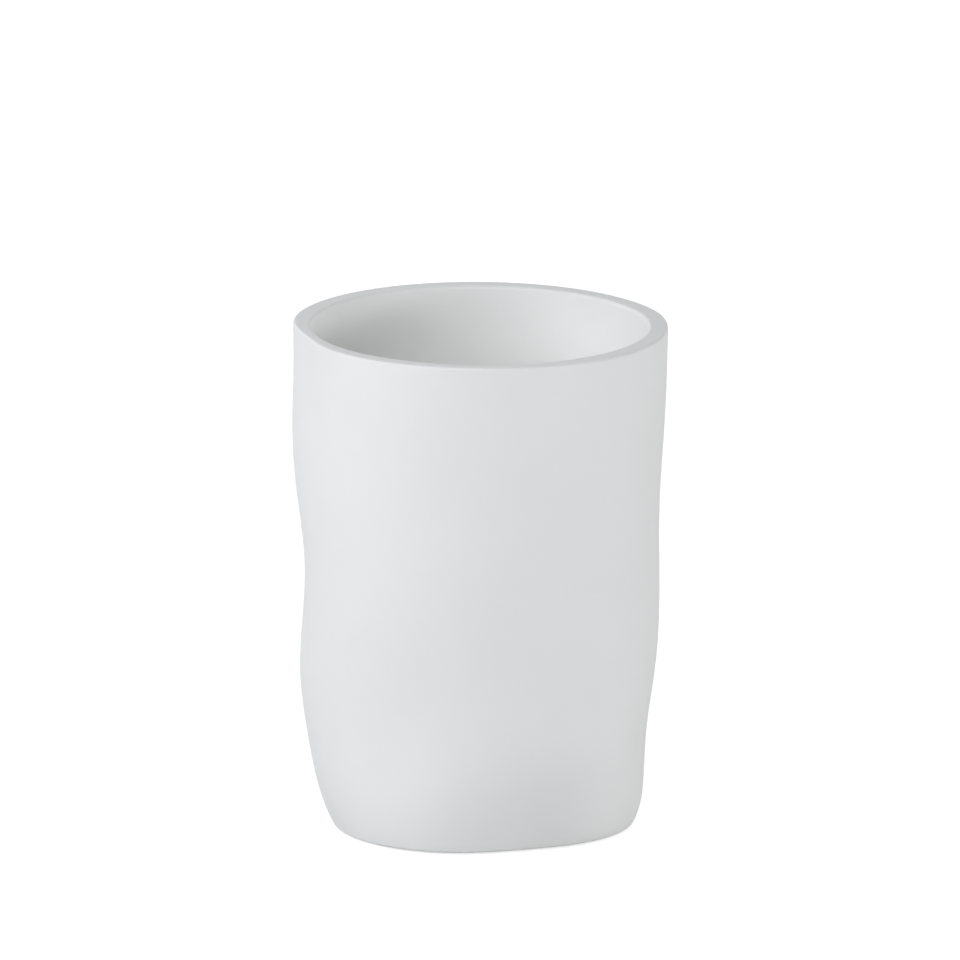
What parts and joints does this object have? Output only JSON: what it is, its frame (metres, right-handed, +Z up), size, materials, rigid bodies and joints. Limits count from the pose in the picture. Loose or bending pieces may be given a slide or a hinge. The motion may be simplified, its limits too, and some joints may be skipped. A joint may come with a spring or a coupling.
{
  "type": "bathroom tumbler",
  "caption": "Matt white bathroom tumbler with a softly wavy, slightly tapered wall, flat rim and rounded inside, standing on anti-slip feet; holds rinse water or toothbrushes.",
  "frame": {"origin": "on the surface that the feet stand on, under the middle of the tumbler", "axes": "+Z up out of the mouth; -Y towards the viewer of the picture; +X to that viewer's right"},
  "size_m": [0.0807, 0.0799, 0.1102],
  "materials": {
    "cast_resin": "matt white cast polyresin with a fine, stone-like grain",
    "silicone": "satin, milky translucent silicone",
    "adhesive": "clear acrylic adhesive film"
  },
  "bodies": {
    "root": {"tumbler_body": "cast_resin", "foot_front_left": "silicone", "foot_front_right": "silicone", "foot_back_left": "silicone", "foot_back_right": "silicone", "adhesive_front_left": "adhesive", "adhesive_front_right": "adhesive", "adhesive_back_left": "adhesive", "adhesive_back_right": "adhesive"}
  },
  "joints": []
}
